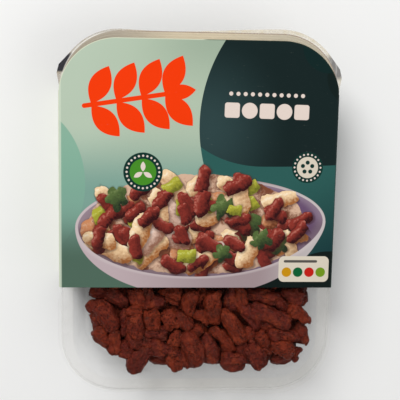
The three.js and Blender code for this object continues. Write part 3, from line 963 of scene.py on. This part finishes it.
def kept_inside(points):
    """Points moved the least that keeps them inside the tray and under the film."""
    z = np.clip(points[:, 2], FLOOR_TOP + CLEAR_MM, FILM_LOW.z - 2 * CLEAR_MM)
    inset = inside_inset(z) + CLEAR_MM
    radius = TRAY_CORNER_MM - inset
    middle = np.array([TRAY_HIGH.x - TRAY_CORNER_MM, TRAY_HIGH.y - TRAY_CORNER_MM])
    flat = points[:, :2]
    nearest = np.clip(flat, -middle, middle)
    out = flat - nearest
    reach = np.hypot(out[:, 0], out[:, 1])
    shrink = np.minimum(1.0, radius / np.maximum(reach, 1e-6))
    return np.column_stack([nearest + out * shrink[:, None], z])


def heap_level(y):
    share = (y - TRAY_LOW.y) / (TRAY_HIGH.y - TRAY_LOW.y)
    return HEAP_LEVEL_MM + (HEAP_LEVEL_AT_TOP_MM - HEAP_LEVEL_MM) * share


def unit_ball(cuts):
    """A ball made from a cube whose edges are cut: its points and its faces."""
    mesh = bmesh.new()
    bmesh.ops.create_cube(mesh, size=2.0)
    bmesh.ops.subdivide_edges(mesh, edges=mesh.edges, cuts=cuts, use_grid_fill=True)
    points = np.array([vertex.co.normalized() for vertex in mesh.verts])
    faces = np.array([[vertex.index for vertex in face.verts] for face in mesh.faces])
    mesh.free()
    return points, faces


def squared_off(ball, power):
    """A ball with its sides flattened: the higher the power, the blockier."""
    size = (np.abs(ball) ** power).sum(axis=1) ** (1 / power)
    return ball / size[:, None]


def chance_at(corners):
    """A number from -1 to 1 for each whole-numbered place, always the same one for the same place."""
    in_x, in_y, in_z, last = BIT_MIXERS
    whole = corners.astype(np.int64).astype(np.uint32)
    mixed = whole[:, 0] * in_x + whole[:, 1] * in_y
    mixed = mixed + whole[:, 2] * in_z
    mixed = (mixed ^ (mixed >> np.uint32(13))) * last
    mixed = mixed ^ (mixed >> np.uint32(16))
    return mixed.astype(float) / 2**31 - 1


def clouds_at(points):
    """Smooth random numbers between -1 and 1, with swells about 1 across."""
    low = np.floor(points)
    share = points - low
    share = share * share * (3 - 2 * share)
    total = np.zeros(len(points))
    for corner in product((0, 1), repeat=3):
        weight = np.prod(np.where(corner, share, 1 - share), axis=1)
        total += weight * chance_at(low + corner)
    return total


def roughened(shape, ball, start):
    """A torn, fibrous surface: lumps, ridges along the piece, cracks across it and crumbs."""
    lumps = clouds_at(shape * (0.17, 0.25, 0.25) + start)
    ridges = clouds_at(shape * (0.16, 0.6, 0.6) + start)
    crumbs = clouds_at(shape * (0.5, 0.65, 0.65) - start)
    cracks = np.abs(clouds_at(shape * (0.34, 0.2, 0.2) - start)) / CRACK_WIDTH
    swell = 1.0 * lumps + 0.5 * ridges + 0.62 * crumbs - 1.0 * np.clip(1 - cracks, 0, 1)
    return shape + ball * swell[:, None]


class Heap:
    """Vertices and faces of all the pieces, and the random draws that shape them."""

    def __init__(self, seed):
        self.random = Random(seed)
        self.points = []
        self.faces = []
        self.grain = []
        self.tone = []
        self.count = 0
        self.balls = {cuts: unit_ball(cuts) for cuts in (COARSE_CUTS, FINE_CUTS)}

    def jitter(self, amount):
        return self.random.uniform(-amount, amount)

    def drawn_size(self):
        draw = self.random.uniform
        return draw(*PIECE_LENGTH_MM), draw(*PIECE_WIDTH_MM), draw(*PIECE_THICKNESS_MM)

    def keep(self, points, faces, grain, tone):
        self.points.append(points)
        self.faces += [[index + self.count for index in face] for face in faces]
        self.grain.append(grain)
        self.tone.append(np.full(len(points), tone))
        self.count += len(points)

    def add_piece(self, middle, size, turn, tone, cuts):
        ball, faces = self.balls[cuts]
        half = np.array(size) / 2
        shape = squared_off(ball, self.random.uniform(*SQUARENESS))
        along = shape[:, 0].copy()
        taper = 1 + self.jitter(0.25) * along
        shape = shape * np.column_stack([np.ones_like(along), taper, taper]) * half
        shape[:, 1] += self.jitter(0.12) * half[0] * (1 - 2 * along**2)
        shape[:, 2] += self.jitter(0.06) * half[0] * (1 - 2 * along**2)
        start = np.array([self.jitter(90), self.jitter(90), self.jitter(90)])
        shape = roughened(shape, ball, start)
        turned = shape @ np.array(Euler(turn).to_matrix()).T
        self.keep(kept_inside(turned + np.array(middle)), faces, shape + start, tone)

    def add_drawn_piece(self, middle, yaw, tilt):
        turn = (self.jitter(tilt), self.jitter(tilt), yaw)
        self.add_piece(middle, self.drawn_size(), turn, self.random.random(), COARSE_CUTS)


def add_seen_pieces(heap):
    for x, y, degrees, length, width, lift, tone in SEEN_PIECES:
        x += (x - CAMERA_FROM_FRONT_MM.x) * CAMERA_LEAN
        y += (y - CAMERA_FROM_FRONT_MM.y) * CAMERA_LEAN
        lift -= UNDER_CARD_DROP_MM * max(0.0, 1 - (SLEEVE_LOW.y - y) / NEAR_CARD_MM)
        thickness = min(width * 0.95, PIECE_THICKNESS_MM[1])
        turn = (heap.jitter(0.25), heap.jitter(0.16), math.radians(degrees))
        size = (length, width, thickness)
        heap.add_piece((x, y, heap_level(y) + lift), size, turn, tone, FINE_CUTS)


def is_bare(x, y):
    """Whether a place is at the lower left, beyond the straight edge that the heap has there."""
    return y < SLEEVE_LOW.y and (x < BARE_SIDE_MM or -x - y > BARE_CORNER_MM)


def add_rows(heap, rows, left, bottom, drop):
    """Staggered rows of pieces across the tray, with their middles drop below the heap's level."""
    columns = round((ROWS_RIGHT_MM - left) / COLUMN_PITCH_MM) + 1
    for row in range(rows):
        for column in range(columns):
            stagger = 0.45 if row % 2 else 0.0
            x = min(left + (column + stagger) * COLUMN_PITCH_MM, ROWS_RIGHT_MM) + heap.jitter(1.6)
            y = bottom + row * ROW_PITCH_MM + heap.jitter(2.4)
            z = heap_level(y) - drop + heap.jitter(1.0)
            if is_bare(x, y):
                continue
            yaw = heap.jitter(math.pi / 2)
            if y < END_ROW_MM:
                yaw *= 0.4
            heap.add_drawn_piece((x, y, z), yaw, 0.3)


def outline_points(inset, pitch):
    """Places round the flange's outline moved inwards, about pitch apart, each with its direction along."""
    cx, cy = TRAY_HIGH.x - TRAY_CORNER_MM, TRAY_HIGH.y - TRAY_CORNER_MM
    radius = TRAY_CORNER_MM - inset
    quarter = radius * math.pi / 2
    stretches = []
    for turn in range(4):
        length = 2 * (cy if turn % 2 == 0 else cx)
        stretches += [("side", turn, length), ("corner", turn, quarter)]
    total = sum(length for _, _, length in stretches)
    count = round(total / pitch)
    for i in range(count):
        distance = (i + 0.5) * total / count
        for kind, turn, length in stretches:
            if distance <= length:
                break
            distance -= length
        angle = turn * math.pi / 2
        half_side = cy if turn % 2 == 0 else cx
        reach = cx if turn % 2 == 0 else cy
        if kind == "side":
            x, y = reach + radius, distance - half_side
            along = math.pi / 2
        else:
            bend = distance / radius
            x, y = reach + radius * math.cos(bend), half_side + radius * math.sin(bend)
            along = math.pi / 2 + bend
        yield (
            x * math.cos(angle) - y * math.sin(angle),
            x * math.sin(angle) + y * math.cos(angle),
            along + angle,
        )


def add_wall_pieces(heap):
    """Rows along the tray's walls, where the sleeve leaves them bare."""
    for row, height in enumerate(WALL_ROWS_MM):
        inset = float(inside_inset(height)) + WALL_INSET_MM
        for x, y, along in outline_points(inset, WALL_PITCH_MM):
            hidden = CARD_HIDES_MM[0] < y < CARD_HIDES_MM[1]
            over_bare_corner = x < -20 and y < 0 and height > 15
            if hidden or over_bare_corner or is_bare(x, y) or height > heap_level(y) - 2.0:
                continue
            inward = along + math.pi / 2
            step = heap.random.uniform(0.0, 2.0)
            slide = heap.jitter(3.0) + (row % 2) * 6.0
            place = (
                x + math.cos(inward) * step + math.cos(along) * slide,
                y + math.sin(inward) * step + math.sin(along) * slide,
                height + heap.jitter(1.0),
            )
            heap.add_drawn_piece(place, along + heap.jitter(0.5), 0.4)


def add_floor_pieces(heap):
    rows, columns, pitch = 4, 10, 11.6
    for row in range(rows):
        for column in range(columns):
            stagger = 0.4 if row % 2 else -0.1
            x = (column - (columns - 1) / 2 + stagger) * pitch + heap.jitter(1.5)
            y = -78.0 + row * 12.0 + heap.jitter(1.5)
            z = FLOOR_TOP + CLEAR_MM + 3.0 + heap.jitter(0.4)
            if is_bare(x, y):
                continue
            heap.add_drawn_piece((x, y, z), heap.jitter(math.pi / 2), 0.15)


def add_core(heap):
    """The heap's plain middle, out of sight under the pieces."""
    inset = float(inside_inset(FLOOR_TOP + 4.0)) + CORE_INSET_MM
    ring = [(x, y) for x, y, _ in outline_points(inset, CORE_PITCH_MM)]
    low = [(x, y, CORE_BOTTOM) for x, y in ring]
    high = [(x, y, heap_level(y) - CORE_UNDER_LEVEL_MM) for x, y in ring]
    middles = [(0.0, 0.0, CORE_BOTTOM), (0.0, 0.0, heap_level(0.0) - CORE_UNDER_LEVEL_MM)]
    points = np.array(low + high + middles)
    count = len(ring)
    faces = []
    for a in range(count):
        b = (a + 1) % count
        faces.append((a, b, b + count, a + count))
        faces.append((b, a, 2 * count))
        faces.append((a + count, b + count, 2 * count + 1))
    heap.keep(points, faces, points, 0.3)


BACON_PURPLISH = srgb(90, 27, 18)
BACON_ORANGE = srgb(110, 36, 15)
PATCH_LIGHT = srgb(128, 50, 25)
PATCH_DEEP = srgb(78, 29, 16)
FIBRE_LIGHT = srgb(152, 70, 42)
FIBRE_DEEP = srgb(44, 14, 8)
CRUMB_LIGHT = srgb(136, 53, 31)
CRUMB_DEEP = srgb(54, 19, 12)
PORE = srgb(48, 15, 8)
# Painted shade for the crevices deep in the heap.
HEAP_DEPTH_SHADE = srgb(22, 9, 4)


def bacon_material():
    p = Paint("bacon")
    (_, _, z), _ = p.place()
    grain = p.node("ShaderNodeAttribute", attribute_name="grain").outputs["Vector"]
    tone = Number(p, p.node("ShaderNodeAttribute", attribute_name="tone").outputs["Fac"])

    p.start(p.mix(BACON_PURPLISH, BACON_ORANGE, p.smooth(tone, 0.15, 0.85)))
    patches = p.noise(grain, 0.16, 2.0)
    p.lay(PATCH_LIGHT, p.smooth(patches, 0.5, 0.68) * 0.75)
    p.lay(PATCH_DEEP, p.smooth(patches, 0.46, 0.3) * 0.7)
    fibres = p.noise(grain, 0.9, 4.0, 0.62, stretch=(0.3, 1.0, 1.0))
    p.lay(FIBRE_DEEP, p.smooth(fibres, 0.47, 0.3) * 0.75)
    p.lay(FIBRE_LIGHT, p.smooth(fibres, 0.58, 0.74) * 0.5)
    cells = p.node("ShaderNodeTexVoronoi", {"Vector": grain, "Scale": 0.75, "Randomness": 1.0})
    porous = p.smooth(p.noise(grain, 0.12, 1.0), 0.45, 0.6)
    pores = p.smooth(Number(p, cells.outputs["Distance"]), 0.42, 0.2) * porous
    p.lay(PORE, pores * 0.6)
    crumbly = p.noise(grain, 0.5, 3.0, 0.6)
    p.lay(CRUMB_DEEP, p.smooth(crumbly, 0.45, 0.33) * 0.6)
    p.lay(CRUMB_LIGHT, p.smooth(crumbly, 0.56, 0.7) * 0.5)
    # Painted shade: the lower a surface lies in the heap, the darker it is.
    p.lay(HEAP_DEPTH_SHADE, p.smooth(z, 26.0, 17.0) * 0.8)
    fine = p.noise(grain, 1.5, 4.0, 0.7)
    height = fine * 0.6 + fibres * 0.8 + crumbly * 1.3 - pores * 0.7
    normal = p.bump(height, 1.0, 0.8)
    roughness = fine * 0.4 + 0.3
    shader = p.principled(Base_Color=p.colour, Roughness=roughness, Normal=normal, Specular_IOR_Level=0.14)
    return p.finish(shader)


def heap_mesh(heap):
    mesh = bpy.data.meshes.new("bacon_heap")
    points = np.concatenate(heap.points) * MM
    mesh.from_pydata(points.tolist(), [], [list(face) for face in heap.faces])
    grain = mesh.attributes.new("grain", "FLOAT_VECTOR", "POINT")
    grain.data.foreach_set("vector", np.concatenate(heap.grain).ravel())
    tone = mesh.attributes.new("tone", "FLOAT", "POINT")
    tone.data.foreach_set("value", np.concatenate(heap.tone))
    mesh.shade_smooth()
    mesh.materials.append(bacon_material())
    return mesh


def add_heap():
    heap = Heap(HEAP_SEED)
    add_core(heap)
    add_seen_pieces(heap)
    add_rows(heap, rows=5, left=-52.0, bottom=-79.0, drop=6.5)
    add_rows(heap, rows=1, left=-54.0, bottom=-32.0, drop=0.5)
    add_wall_pieces(heap)
    add_floor_pieces(heap)
    piece = add_object("bacon_heap", heap_mesh(heap))
    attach(piece, "root")
    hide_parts("bacon_pieces")


# ---- The scene ----

FLOOR_HALF_SIZE = 1.5
FLOOR_COLOUR = (0.86, 0.86, 0.85, 1)


def dress(node, material):
    """Gives a CAD piece a new material."""
    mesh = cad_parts[node].data
    mesh.materials.clear()
    mesh.materials.append(material)


def add_floor():
    mesh = bpy.data.meshes.new("floor")
    half = FLOOR_HALF_SIZE
    corners = [(-half, -half, 0), (half, -half, 0), (half, half, 0), (-half, half, 0)]
    mesh.from_pydata(corners, [], [(0, 1, 2, 3)])
    p = Paint("pale_floor")
    mesh.materials.append(p.finish(p.principled(Base_Color=FLOOR_COLOUR, Roughness=0.8)))
    floor = add_object("floor", mesh)


bpy.context.scene.view_settings.view_transform = "Standard"
add_camera()
add_world()
for light in LIGHTS:
    add_area_light(*light)
add_floor()

dress("sleeve", print_material())
dress("tray", tray_material())
dress("lid_film", film_material())
add_heap()
